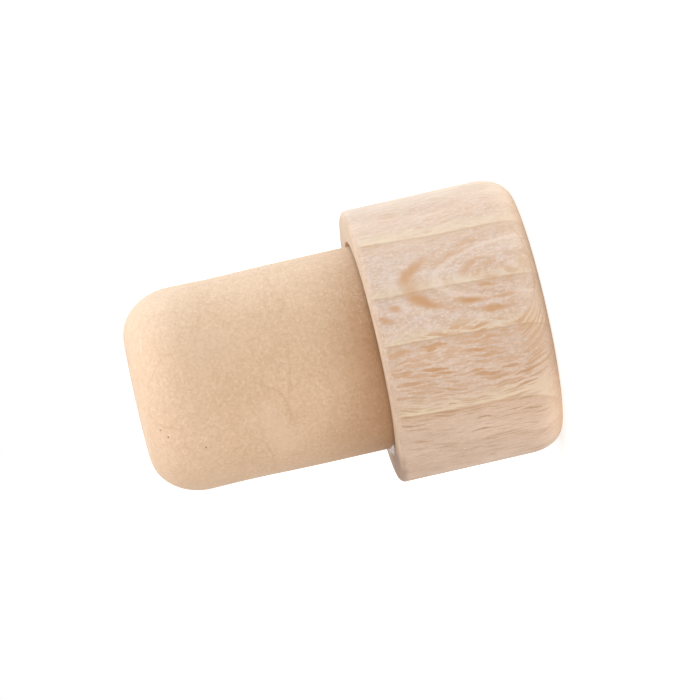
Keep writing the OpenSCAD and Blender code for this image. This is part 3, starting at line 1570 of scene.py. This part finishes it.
    def _painted_root_shade(self, shading: Shading, body: Node, colour: Node) -> Node:
        """Painted shade on the cork next to the joint, reaching furthest on the underside, away from the
        light.

        Args:
            shading: the material.
            body: place in millimetres.
            colour: the cork so far.

        Returns:
            The cork with its painted shade and its painted shadow line at the joint.
        """
        height = shading.add("ShaderNodeSeparateXYZ", {0: body})
        # The painted shade reaches furthest up on the underside, away from the light, where the bead also
        # sits
        shaded_side_reach = shading.add(
            "ShaderNodeMapRange",
            {
                "Value": height.outputs["X"],
                "From Min": -self.root_shade_run_from * SKIN_RADIUS,
                "From Max": -SKIN_RADIUS,
                "To Min": self.joint_height + self.root_shade_reach,
                "To Max": self.joint_height + self.root_shade_reach + self.root_shade_run,
            },
        )
        # Weaker painted shade on the upper side, which faces the light
        share = shading.add(
            "ShaderNodeMapRange",
            {
                "Value": height.outputs["X"],
                "From Min": SKIN_RADIUS,
                "From Max": 0.0,
                "To Min": self.root_shade_lit_side * self.root_shade_share,
                "To Max": self.root_shade_share,
            },
        )
        soft = shading.add(
            "ShaderNodeMapRange",
            {
                "Value": height.outputs["Z"],
                "From Min": shaded_side_reach,
                "From Max": self.joint_height,
                "To Max": share,
            },
            interpolation_type="SMOOTHSTEP",
        )
        # A dark painted shadow line in the gap at the joint
        line = shading.add(
            "ShaderNodeMapRange",
            {
                "Value": height.outputs["Z"],
                "From Min": self.joint_height + self.joint_shadow_width,
                "From Max": self.joint_height,
                "To Max": self.joint_shadow_share,
            },
        )
        darker = shading.add(
            "ShaderNodeMix",
            {"Factor": soft, "A": colour, "B": linear(self.painted_root_shade)},
            data_type="RGBA",
            blend_type="MULTIPLY",
        )
        return shading.add(
            "ShaderNodeMix",
            {"Factor": line, "A": darker, "B": linear(self.painted_joint_shadow)},
            data_type="RGBA",
        )

    def _grains(self, shading: Shading, body: Node) -> tuple[Node, Node]:
        """The pressed grains.

        Args:
            shading: the material.
            body: place in millimetres.

        Returns:
            Their colour, and the relief that they leave in the skin.
        """
        broad, fine = (
            shading.add("ShaderNodeTexNoise", {"Vector": body, "Scale": fineness, "Detail": 3.0})
            for fineness in (self.tone_fineness, self.grain_fineness)
        )
        crumple = shading.add(
            "ShaderNodeVectorMath",
            {0: fine.outputs["Color"], "Scale": self.grain_crumple},
            operation="SCALE",
        )
        uneven = shading.add("ShaderNodeVectorMath", {0: body, 1: crumple}, operation="ADD")
        cells = shading.add("ShaderNodeTexVoronoi", {"Vector": uneven, "Scale": 1 / self.grain_size})
        chance = shading.add("ShaderNodeSeparateColor", {0: cells.outputs["Color"]})
        tone = shading.add(
            "ShaderNodeMix",
            {"Factor": self.grain_share, "A": fine, "B": chance.outputs[0]},
            data_type="FLOAT",
        )
        mixed = shading.add(
            "ShaderNodeMix", {"Factor": self.tone_share, "A": tone, "B": broad}, data_type="FLOAT"
        )
        light = shading.add("ShaderNodeMapRange", {"Value": mixed, "From Min": 0.34, "From Max": 0.62})
        pale = shading.add(
            "ShaderNodeMapRange", {"Value": chance.outputs[1], "From Min": 0.75, "To Max": 0.45}
        )
        coats = ((light, linear(self.body)), (pale, linear(self.grain_light)))
        return shading.coated(linear(self.body_deep), *coats), tone

    def _near(self, shading: Shading, skin: Node, spot: Crowd, most: float) -> Node:
        """How near the skin is to a spot.

        Args:
            shading: the material.
            skin: place on the unrolled skin.
            spot: the spot.
            most: the amount at the middle of a spot of full strength.

        Returns:
            The amount, which falls off softly to 0 at the reach of the spot.
        """
        away = shading.add(
            "ShaderNodeVectorMath",
            {0: self._away(shading, skin, spot.height, spot.angle)},
            operation="LENGTH",
        )
        return shading.add(
            "ShaderNodeMapRange",
            {
                "Value": away.outputs["Value"],
                "From Min": spot.reach,
                "From Max": CORE_SHARE * spot.reach,
                "To Max": most * spot.strength,
            },
            interpolation_type="SMOOTHSTEP",
        )

    def _paler(self, shading: Shading, skin: Node, colour: Node) -> Node:
        """Make the cork paler in spots, and lighter towards its tip as painted light.

        Args:
            shading: the material.
            skin: place on the unrolled skin.
            colour: the cork so far.

        Returns:
            The paler cork.
        """
        near = [self._near(shading, skin, spot, 1.0) for spot in self.pale_spots]
        amount = shading.folded("MAXIMUM", *near)
        spotted = shading.add(
            "ShaderNodeMix",
            {"Factor": amount, "A": colour, "B": linear(self.grain_light)},
            data_type="RGBA",
        )
        parts = shading.add("ShaderNodeSeparateXYZ", {0: skin})
        # Painted light: grey added towards the tip
        sanded = shading.add(
            "ShaderNodeMapRange",
            {
                "Value": parts.outputs["Y"],
                "From Min": self.tip_light_band[0],
                "From Max": self.tip_light_band[1],
            },
        )
        return shading.add(
            "ShaderNodeMix",
            {"Factor": sanded, "A": spotted, "B": linear(self.painted_tip_light)},
            data_type="RGBA",
            blend_type="ADD",
        )

    def _bright(self, shading: Shading, body: Node, skin: Node, colour: Node) -> Node:
        """Scattered bright grains, which crowd in some spots.

        Args:
            shading: the material.
            body: place in millimetres.
            skin: place on the unrolled skin.
            colour: the cork so far.

        Returns:
            The cork with its bright grains.
        """
        cells = shading.add("ShaderNodeTexVoronoi", {"Vector": body, "Scale": 1 / self.bright_spacing})
        chance = shading.add("ShaderNodeSeparateColor", {0: cells.outputs["Color"]})
        near = [self._near(shading, skin, spot, self.crowd_size) for spot in self.crowds]
        largest = shading.folded("MAXIMUM", self.bright_patches.shown(shading, body), *near)
        size = shading.add("ShaderNodeMath", {0: largest, 1: chance.outputs[0]}, operation="MULTIPLY")
        strength = shading.add(
            "ShaderNodeMapRange",
            {
                "Value": chance.outputs[1],
                "To Min": self.bright_strength[0],
                "To Max": self.bright_strength[1],
            },
        )
        amount = shading.add(
            "ShaderNodeMapRange",
            {"Value": cells.outputs["Distance"], "From Min": size, "From Max": 0.0, "To Max": strength},
        )
        return shading.add(
            "ShaderNodeMix",
            {"Factor": amount, "A": colour, "B": linear(self.grain_bright)},
            data_type="RGBA",
        )

    def _seams(self, shading: Shading, body: Node, skin: Node, colour: Node) -> Node:
        """Hairline seams between the lumps that the grains were pressed in.

        Args:
            shading: the material.
            body: place in millimetres.
            skin: place on the unrolled skin.
            colour: the cork so far.

        Returns:
            The cork with its seams.
        """
        wander, jitter = (
            shading.add("ShaderNodeTexNoise", {"Vector": body, "Scale": fineness, "Detail": 2.0})
            for fineness in (self.lump_bends, self.seam_waves)
        )
        bend = shading.add(
            "ShaderNodeVectorMath",
            {0: wander.outputs["Color"], "Scale": self.lump_wander},
            operation="SCALE",
        )
        moved = shading.add("ShaderNodeVectorMath", {0: body, 1: bend}, operation="ADD")
        lumps = shading.add(
            "ShaderNodeTexVoronoi",
            {"Vector": moved, "Scale": 1 / self.lump_size},
            feature="DISTANCE_TO_EDGE",
        )
        line = shading.add(
            "ShaderNodeMapRange",
            {"Value": lumps, "From Min": 0.03, "From Max": 0.008, "To Max": self.lump_seam},
        )
        fade = shading.add("ShaderNodeMapRange", {"Value": wander, "From Min": 0.45, "From Max": 0.6})
        faint = shading.add("ShaderNodeMath", {0: line, 1: fade}, operation="MULTIPLY")
        amount = shading.folded(
            "MAXIMUM", faint, *(self._seam(shading, skin, jitter, seam) for seam in self.seams)
        )
        return shading.add(
            "ShaderNodeMix",
            {"Factor": amount, "A": colour, "B": linear(self.seam)},
            data_type="RGBA",
        )

    def _seam(self, shading: Shading, skin: Node, jitter: Node, seam: Seam) -> Node:
        """One seam that bends round a spot.

        Args:
            shading: the material.
            skin: place on the unrolled skin.
            jitter: what the seam wavers by, from 0 to 1.
            seam: its place and strength.

        Returns:
            Its strength along the seam and 0 away from it.
        """
        away = self._away(shading, skin, seam.height, seam.angle)
        radius = shading.add("ShaderNodeVectorMath", {0: away}, operation="LENGTH")
        off = shading.add(
            "ShaderNodeMath",
            {0: radius.outputs["Value"], 1: seam.radius - 0.5 * self.seam_waver},
            operation="SUBTRACT",
        )
        wavy = shading.add(
            "ShaderNodeMath", {0: jitter, 1: -self.seam_waver, 2: off}, operation="MULTIPLY_ADD"
        )
        gap = shading.add("ShaderNodeMath", {0: wavy}, operation="ABSOLUTE")
        near = shading.add(
            "ShaderNodeMapRange",
            {"Value": gap, "From Min": self.seam_width, "From Max": 0.0, "To Max": seam.strength},
        )
        parts = shading.add("ShaderNodeSeparateXYZ", {0: away})
        direction = shading.add(
            "ShaderNodeMath", {0: parts.outputs["X"], 1: parts.outputs["Y"]}, operation="ARCTAN2"
        )
        turn = shading.add(
            "ShaderNodeMath", {0: direction, 1: math.radians(seam.direction)}, operation="SUBTRACT"
        )
        around = shading.add("ShaderNodeMath", {0: turn, 1: math.pi, 2: -math.pi}, operation="WRAP")
        wide = shading.add("ShaderNodeMath", {0: around}, operation="ABSOLUTE")
        within = shading.add(
            "ShaderNodeMapRange",
            {
                "Value": wide,
                "From Min": math.radians(seam.half_angle),
                "From Max": 0.5 * math.radians(seam.half_angle),
            },
        )
        return shading.add("ShaderNodeMath", {0: near, 1: within}, operation="MULTIPLY")


@dataclass(frozen=True)
class DriedGlue:
    """White wood glue, squeezed out and dried.

    To the eye it is a milky, pinkish, wet-looking bead that lets a little light through. Lengths are
    in millimetres, and a fineness is to the millimetre.
    """

    milk: str = "#E0CBC2"
    haze: str = "#A98C7E"
    roughness: float = 0.12
    ior: float = 1.47
    clearness: float = 0.1
    haze_fineness: float = 1.4
    relief_depth: float = 0.1
    relief_strength: float = 0.3

    def build(self) -> bpy.types.Material:
        """Make the material.

        Returns:
            The material, named for the glue.
        """
        shading = Shading.new("dried_wood_glue")
        place = shading.add("ShaderNodeTexCoord")
        cloud = shading.add(
            "ShaderNodeTexNoise",
            {"Vector": place.outputs["Object"], "Scale": self.haze_fineness * PER_METRE, "Detail": 2.0},
        )
        share = shading.add("ShaderNodeMapRange", {"Value": cloud, "From Min": 0.35, "From Max": 0.65})
        colour = shading.add(
            "ShaderNodeMix",
            {"Factor": share, "A": linear(self.milk), "B": linear(self.haze)},
            data_type="RGBA",
        )
        bump = shading.add(
            "ShaderNodeBump",
            {"Height": cloud, "Strength": self.relief_strength, "Distance": self.relief_depth * MM},
        )
        surface = shading.add(
            "ShaderNodeBsdfPrincipled",
            {
                "Base Color": colour,
                "Roughness": self.roughness,
                "IOR": self.ior,
                "Transmission Weight": self.clearness,
                "Normal": bump,
            },
        )
        return shading.finish(surface)


# ---- Pieces ----


@dataclass(frozen=True)
class Head:
    """The turned beech head, which stands on its flat top.

    Its outer size comes from the frame; these are the sizes of its edges and of its socket.
    """

    lathe: Lathe
    top_round_in: float = 2.2 * MM
    top_round_along: float = 3.3 * MM
    rim_radius: float = 0.6 * MM
    socket_radius: float = 10.55 * MM
    socket_depth: float = 7.0 * MM
    mouth_chamfer: float = 0.3 * MM
    rounding_steps: int = 16
    rim_steps: int = 8
    step: float = 0.4 * MM
    unevenness: float = 0.03 * MM
    patch: float = 2.5 * MM

    def outline(self) -> list[Point]:
        """The head's outline.

        Returns:
            Its points, from the middle of its flat top round to the middle of the socket's floor.
        """
        low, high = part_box("head")
        radius, height = high.x, high.z
        rounding = ellipse_quarter(
            (radius - self.top_round_in, self.top_round_along),
            (radius - self.top_round_in, low.z),
            (radius, self.top_round_along),
            self.rounding_steps,
        )
        rim = ellipse_quarter(
            (radius - self.rim_radius, height - self.rim_radius),
            (radius, height - self.rim_radius),
            (radius - self.rim_radius, height),
            self.rim_steps,
        )
        socket = [
            (self.socket_radius + self.mouth_chamfer, height),
            (self.socket_radius, height - self.mouth_chamfer),
            (self.socket_radius, height - self.socket_depth),
            (0.0, height - self.socket_depth),
        ]
        return evened([(0.0, low.z), *rounding, *rim, *socket], self.step)

    def build(self, wood: bpy.types.Material) -> None:
        """Turn the head and dress it."""
        piece = self.lathe.turn("beech_head", self.outline(), wood, self.unevenness, self.patch)
        dress(piece, wood, Slot.BEECH, "head")


@dataclass(frozen=True)
class Shank:
    """The pressed cork shank, seated in the head with its rounded tip upward.

    Its skin draws in a little between the tip and the middle, as pressed cork does when it dries. Each
    marked pit has its height in millimetres and its place round the axis in degrees. The scattered pits
    lie on the far side.
    """

    lathe: Lathe
    piercer: Piercer
    tip_round_in: float = 4.4 * MM
    tip_round_along: float = 5.4 * MM
    foot_radius: float = 10.2 * MM
    foot_chamfer: float = 0.5 * MM
    straight_from: float = 17.6 * MM
    waist_depth: float = 0.1 * MM
    waist_below_tip: float = 9.5 * MM
    waist_half_length: float = 4.5 * MM
    rounding_steps: int = 18
    step: float = 0.4 * MM
    unevenness: float = 0.03 * MM
    patch: float = 3.5 * MM
    pit_radius: float = 0.085 * MM
    pit_spread: Point = (0.75, 1.15)
    pit_marks: tuple[Point, ...] = ((39.7, -112.8), (39.1, -117.3), (35.65, -126.0), (26.4, -13.4))
    scattered_pits: int = 14
    scattered_between: Point = (10.0, 170.0)
    scattered_above: float = 2 * MM
    seed: int = 5

    def waist(self, height: float) -> float:
        """How far the skin draws in at a height."""
        away = (height - (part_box("shank")[1].z - self.waist_below_tip)) / self.waist_half_length
        return self.waist_depth * math.exp(-away * away)

    def outline(self) -> list[Point]:
        """The shank's outline.

        Returns:
            Its points, from the middle of its foot to the middle of its tip.
        """
        low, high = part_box("shank")
        radius = high.x
        rounding = ellipse_quarter(
            (radius - self.tip_round_in, high.z - self.tip_round_along),
            (radius, high.z - self.tip_round_along),
            (radius - self.tip_round_in, high.z),
            self.rounding_steps,
        )
        points = [
            (0.0, low.z),
            (self.foot_radius - self.foot_chamfer, low.z),
            (self.foot_radius, low.z + self.foot_chamfer),
            (radius, self.straight_from),
            *rounding,
            (0.0, high.z),
        ]
        return [
            (r - self.waist(z) if z > self.straight_from and r > self.tip_round_in else r, z)
            for r, z in evened(points, self.step)
        ]

    def skin_radius(self, height: float) -> float:
        """The shank's radius where it stands clear of the head.

        Args:
            height: height above the floor.

        Returns:
            The radius.
        """
        _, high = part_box("shank")
        above = max(0.0, height - (high.z - self.tip_round_along)) / self.tip_round_along
        return high.x - self.tip_round_in * (1 - math.sqrt(1 - above * above)) - self.waist(height)

    def pit_centres(self) -> list[Vector]:
        """Choose where the pits are.

        Returns:
            The centres of the marked pits and of the scattered ones, on the skin.
        """
        chance = random.Random(self.seed)
        low = self.straight_from + self.scattered_above
        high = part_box("shank")[1].z - self.tip_round_along
        scattered = [
            (chance.uniform(low, high) / MM, chance.uniform(*self.scattered_between))
            for _ in range(self.scattered_pits)
        ]
        return [
            Vector(
                (
                    self.skin_radius(z * MM) * math.cos(math.radians(angle)),
                    self.skin_radius(z * MM) * math.sin(math.radians(angle)),
                    z * MM,
                )
            )
            for z, angle in (*self.pit_marks, *scattered)
        ]

    def build(self, cork: bpy.types.Material) -> None:
        """Turn the shank, prick it and dress it.

        Args:
            cork: what it is made of.
        """
        piece = self.lathe.turn("cork_shank", self.outline(), cork, self.unevenness, self.patch)
        piece = self.piercer.pierce(piece, self.pit_centres(), self.pit_radius, self.pit_spread, self.seed)
        dress(piece, cork, Slot.CORK, "shank")


@dataclass(frozen=True)
class Glue:
    """The glue: a film in the socket and a bead squeezed out at one side of the joint."""

    lathe: Lathe
    extruder: Extruder
    socket_radius: float = 10.55 * MM
    shank_radius: float = 10.4 * MM
    foot_radius: float = 10.2 * MM
    foot_chamfer: float = 0.5 * MM
    socket_depth: float = 7.0 * MM
    film_drop: float = 1.2 * MM
    floor_film: float = 0.15 * MM
    seat_draft: float = 0.15 * MM
    film_step: float = 1.0 * MM
    bead_reach: float = 0.8 * MM
    bead_height: float = 0.45 * MM
    bead_length: float = 8.0 * MM
    bead_bulge: Point = (0.1575, 0.105)
    bead_thinnest: float = 0.03
    lump_size: float = 0.9 * MM
    lump_share: float = 0.8
    section_steps: int = 10
    path_steps: int = 72

    def film(self, glue: bpy.types.Material) -> bpy.types.Object:
        """Lay the film between the shank and the socket.

        Args:
            glue: what it is made of.

        Returns:
            The piece.
        """
        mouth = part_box("head")[1].z
        floor = mouth - self.socket_depth
        top = mouth - self.film_drop
        outline = [
            (0.0, floor),
            (self.socket_radius, floor),
            (self.socket_radius, top),
            (self.foot_radius + self.seat_draft, top),
            (self.foot_radius, floor + self.floor_film + self.foot_chamfer),
            (self.foot_radius - self.foot_chamfer, floor + self.floor_film),
            (0.0, floor + self.floor_film),
        ]
        outline = evened(outline, self.film_step)
        return self.lathe.turn("glue_film", outline, glue, 0.0, self.film_step)

    def section(self) -> list[Point]:
        """The bead's section where it is thickest.

        Returns:
            Its points: the corner, and then the bulging skin from the underside up the shank.
        """
        out, up = self.bead_bulge
        skin = []
        for i in range(self.section_steps + 1):
            share = i / self.section_steps
            swell = math.sin(math.pi * share)
            skin.append(
                (
                    self.bead_reach * (1 - share) + self.bead_height * swell * out,
                    self.bead_height * share + self.bead_reach * swell * up,
                )
            )
        return [(0.0, 0.0), *skin]

    def bead(self, glue: bpy.types.Material) -> bpy.types.Object:
        """Lay the bead in the corner between the shank and the underside.

        Args:
            glue: what it is made of.

        Returns:
            The piece.
        """
        section = self.section()
        count = len(section)
        edges = [(i, (i + 1) % count) for i in range(count)]
        mesh = bpy.data.meshes.new("glue_bead_section")
        mesh.from_pydata([(across, -up, 0.0) for across, up in section], edges, [])
        carrier = bpy.data.objects.new("glue_bead_carrier", mesh)
        bpy.context.scene.collection.objects.link(carrier)
        sweep = 2 * math.asin(self.bead_length / 2 / self.shank_radius)
        values = {
            "Path Radius": self.shank_radius,
            "Start": math.pi - sweep / 2,
            "Sweep": sweep,
            "Steps": self.path_steps,
            "Thinnest": self.bead_thinnest,
            "Lump Size": self.lump_size,
            "Lump Share": self.lump_share,
            "Height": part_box("head")[1].z,
            "Material": glue,
        }
        return plain_mesh(apply_tree(carrier, self.extruder.tree, values), "glue_bead")

    def build(self, glue: bpy.types.Material) -> None:
        """Lay the glue and dress it."""
        dress(self.film(glue), glue, Slot.GLUE, "glue")
        dress(self.bead(glue), glue, Slot.GLUE, "glue")


# ---- Studio ----


@dataclass(frozen=True)
class Lamp:
    """A soft square lamp that points at the stopper."""

    name: str
    direction: Triple
    distance: float
    size: float
    power: float
    colour: str = "#FFFFFF"

    def build(self, target: Vector) -> None:
        """Hang the lamp.

        Args:
            target: the point that it faces.
        """
        data = bpy.data.lights.new(self.name, "AREA")
        data.shape = "SQUARE"
        data.size = self.size
        data.energy = self.power
        data.color = linear(self.colour)[:3]
        lamp = bpy.data.objects.new(self.name, data)
        away = Vector(self.direction).normalized()
        lamp.location = target + away * self.distance
        lamp.rotation_euler = away.to_track_quat("Z", "Y").to_euler()
        lamp.visible_camera = False
        bpy.context.scene.collection.objects.link(lamp)


@dataclass(frozen=True)
class Bounce:
    """A spot on the floor that throws more light back up, beside the head.

    It has its place and its reach in metres, and how much it adds to the floor's glow.
    """

    place: Triple
    reach: float
    strength: float


@dataclass(frozen=True)
class Studio:
    """A light tent: a pale floor, an even white surround and soft lamps.

    What the camera sees of the floor is a board of its own, so that it is white and still keeps the
    stopper's shadow, which fades out over the shadow's reach. Lengths are in metres.
    """

    floor_half: float = 6.0
    floor_colour: str = "#F2F2F2"
    floor_glow: float = 0.26
    seen_floor_colour: str = "#CBCBCB"
    seen_floor_glow: float = 0.66
    shadow_reach: Point = (0.05, 0.14)
    surround: float = 0.3
    dim_side: float = 0.25
    bounces: tuple[Bounce, ...] = (
        Bounce((-0.017, -0.010, 0.0), 0.013, 0.38),
        Bounce((0.017, -0.010, 0.0), 0.013, 0.12),
    )
    lamps: tuple[Lamp, ...] = (
        Lamp("over_lamp", (1.0, 0.2, 0.15), 0.5, 0.4, 2.0, "#EDF7FF"),
        Lamp("fill_lamp", (-0.7, -0.7, 0.25), 0.5, 0.4, 0.86, "#FFF2E7"),
        Lamp("rim_lamp", (0.85, 0.6, 0.25), 0.5, 0.4, 0.55, "#B8DFFF"),
        Lamp("close_lamp", (0.15, -0.25, 1.0), 0.15, 0.16, 0.188),
    )

    def build(self) -> None:
        """Set up the floor, the world and the lamps."""
        self._floor()
        self._world()
        low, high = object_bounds()
        for lamp in self.lamps:
            lamp.build((low + high) / 2)
        bpy.context.scene.view_settings.view_transform = "Standard"

    def _floor(self) -> None:
        """Lay the floor at the stopper's foot."""
        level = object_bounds()[0].z
        half = self.floor_half
        mesh = bpy.data.meshes.new("floor")
        corners = [(-half, -half, level), (half, -half, level), (half, half, level), (-half, half, level)]
        mesh.from_pydata(corners, [], [(0, 1, 2, 3)])
        floor = bpy.data.objects.new("floor", mesh)
        floor.data.materials.append(self._floor_finish())
        bpy.context.scene.collection.objects.link(floor)
        floor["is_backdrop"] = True

    def _floor_finish(self) -> bpy.types.Material:
        """A matt white board that reads as white wherever the stopper's shadow doesn't fall.

        Returns:
            The material.
        """
        shading = Shading.new("matt_white_board")
        board = shading.add("ShaderNodeBsdfDiffuse", {"Color": linear(self.floor_colour)})
        place = shading.add("ShaderNodeTexCoord")
        thrown = self.floor_glow
        for bounce in self.bounces:
            off = shading.add(
                "ShaderNodeVectorMath",
                {0: place.outputs["Object"], 1: bounce.place},
                operation="DISTANCE",
            )
            spot = shading.add(
                "ShaderNodeMapRange",
                {
                    "Value": off.outputs["Value"],
                    "From Min": bounce.reach,
                    "From Max": CORE_SHARE * bounce.reach,
                    "To Max": bounce.strength,
                },
                interpolation_type="SMOOTHSTEP",
            )
            thrown = shading.add("ShaderNodeMath", {0: thrown, 1: spot}, operation="ADD")
        lit = shading.add("ShaderNodeEmission", {"Strength": thrown})
        real = shading.add("ShaderNodeAddShader", {0: board, 1: lit})
        shade = shading.add("ShaderNodeBsdfDiffuse", {"Color": linear(self.seen_floor_colour)})
        away = shading.add("ShaderNodeVectorMath", {0: place.outputs["Object"]}, operation="LENGTH")
        near, far = self.shadow_reach
        level = shading.add(
            "ShaderNodeMapRange",
            {
                "Value": away.outputs["Value"],
                "From Min": near,
                "From Max": far,
                "To Min": self.seen_floor_glow,
                "To Max": 1.0,
            },
        )
        glow = shading.add("ShaderNodeEmission", {"Strength": level})
        seen = shading.add("ShaderNodeAddShader", {0: shade, 1: glow})
        surface = shading.add(
            "ShaderNodeMixShader", {0: self._seen(shading.material.node_tree), 1: real, 2: seen}
        )
        return shading.finish(surface)

    def _world(self) -> None:
        """Surround everything with even light, seen as white."""
        world = bpy.data.worlds.new("light_tent")
        world.use_nodes = True
        tree = world.node_tree
        tree.nodes.clear()
        place = add_node(tree, "ShaderNodeTexCoord")
        heading = add_node(tree, "ShaderNodeSeparateXYZ", {0: place.outputs["Generated"]})
        share = add_node(
            tree,
            "ShaderNodeMapRange",
            {
                "Value": heading.outputs["X"],
                "From Min": -1.0,
                "From Max": 0.0,
                "To Min": self.surround * (1.0 - self.dim_side),
                "To Max": self.surround,
            },
        )
        lit = add_node(tree, "ShaderNodeBackground", {"Strength": share})
        seen = add_node(tree, "ShaderNodeBackground", {"Strength": 1.0})
        mix = add_node(tree, "ShaderNodeMixShader", {0: self._seen(tree), 1: lit, 2: seen})
        add_node(tree, "ShaderNodeOutputWorld", {"Surface": mix})
        for node in (lit, seen):
            node.inputs["Color"].default_value = linear("#FFFFFF")
        bpy.context.scene.world = world

    @staticmethod
    def _seen(tree: bpy.types.NodeTree) -> Node:
        """Tell what the camera sees, straight on, in a reflection or through glass.

        Args:
            tree: the tree of a material or of the world.

        Returns:
            1 for what it sees and 0 for what only throws light.
        """
        path = add_node(tree, "ShaderNodeLightPath")
        direct = add_node(
            tree,
            "ShaderNodeMath",
            {0: path.outputs["Is Camera Ray"], 1: path.outputs["Is Glossy Ray"]},
            operation="MAXIMUM",
        )
        return add_node(
            tree,
            "ShaderNodeMath",
            {0: direct, 1: path.outputs["Is Transmission Ray"]},
            operation="MAXIMUM",
        )


@dataclass(frozen=True)
class StudioCamera:
    """A long lens that looks level across the stopper, rolled so that the shank lies to the left.

    Its distances are in shares of the head's radius, and what it clips is in metres.
    """

    elevation: float = math.radians(4.18)
    roll: float = math.radians(-102.74)
    distance: float = 40.0
    aside: float = 0.1425
    above: float = 0.0197
    lens: float = 286.3
    clip: Point = (0.01, 100.0)

    def build(self) -> None:
        """Place the camera so that it sees the middle of the head's underside a little off centre."""
        _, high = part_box("head")
        radius, target = high.x, Vector((0.0, 0.0, high.z))
        level = Euler((math.pi / 2 - self.elevation, 0.0, 0.0)).to_matrix()
        axes = level @ Matrix.Rotation(self.roll, 3, "Z")
        data = bpy.data.cameras.new("camera")
        data.lens = self.lens
        data.clip_start, data.clip_end = self.clip
        camera = bpy.data.objects.new("camera", data)
        offset = axes @ Vector((-self.aside, -self.above, self.distance))
        camera.matrix_world = Matrix.Translation(target + offset * radius) @ axes.to_4x4()
        bpy.context.scene.collection.objects.link(camera)
        bpy.context.scene.camera = camera


def main() -> None:
    """Build the stopper, the studio and the camera."""
    logging.basicConfig(level=logging.INFO, format="%(name)s: %(message)s")
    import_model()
    StudioCamera().build()
    Studio().build()
    lathe = Lathe()
    Head(lathe).build(Beech().build())
    Shank(lathe, Piercer()).build(Cork().build())
    Glue(lathe, Extruder()).build(DriedGlue().build())


if __name__ == "__main__":
    main()
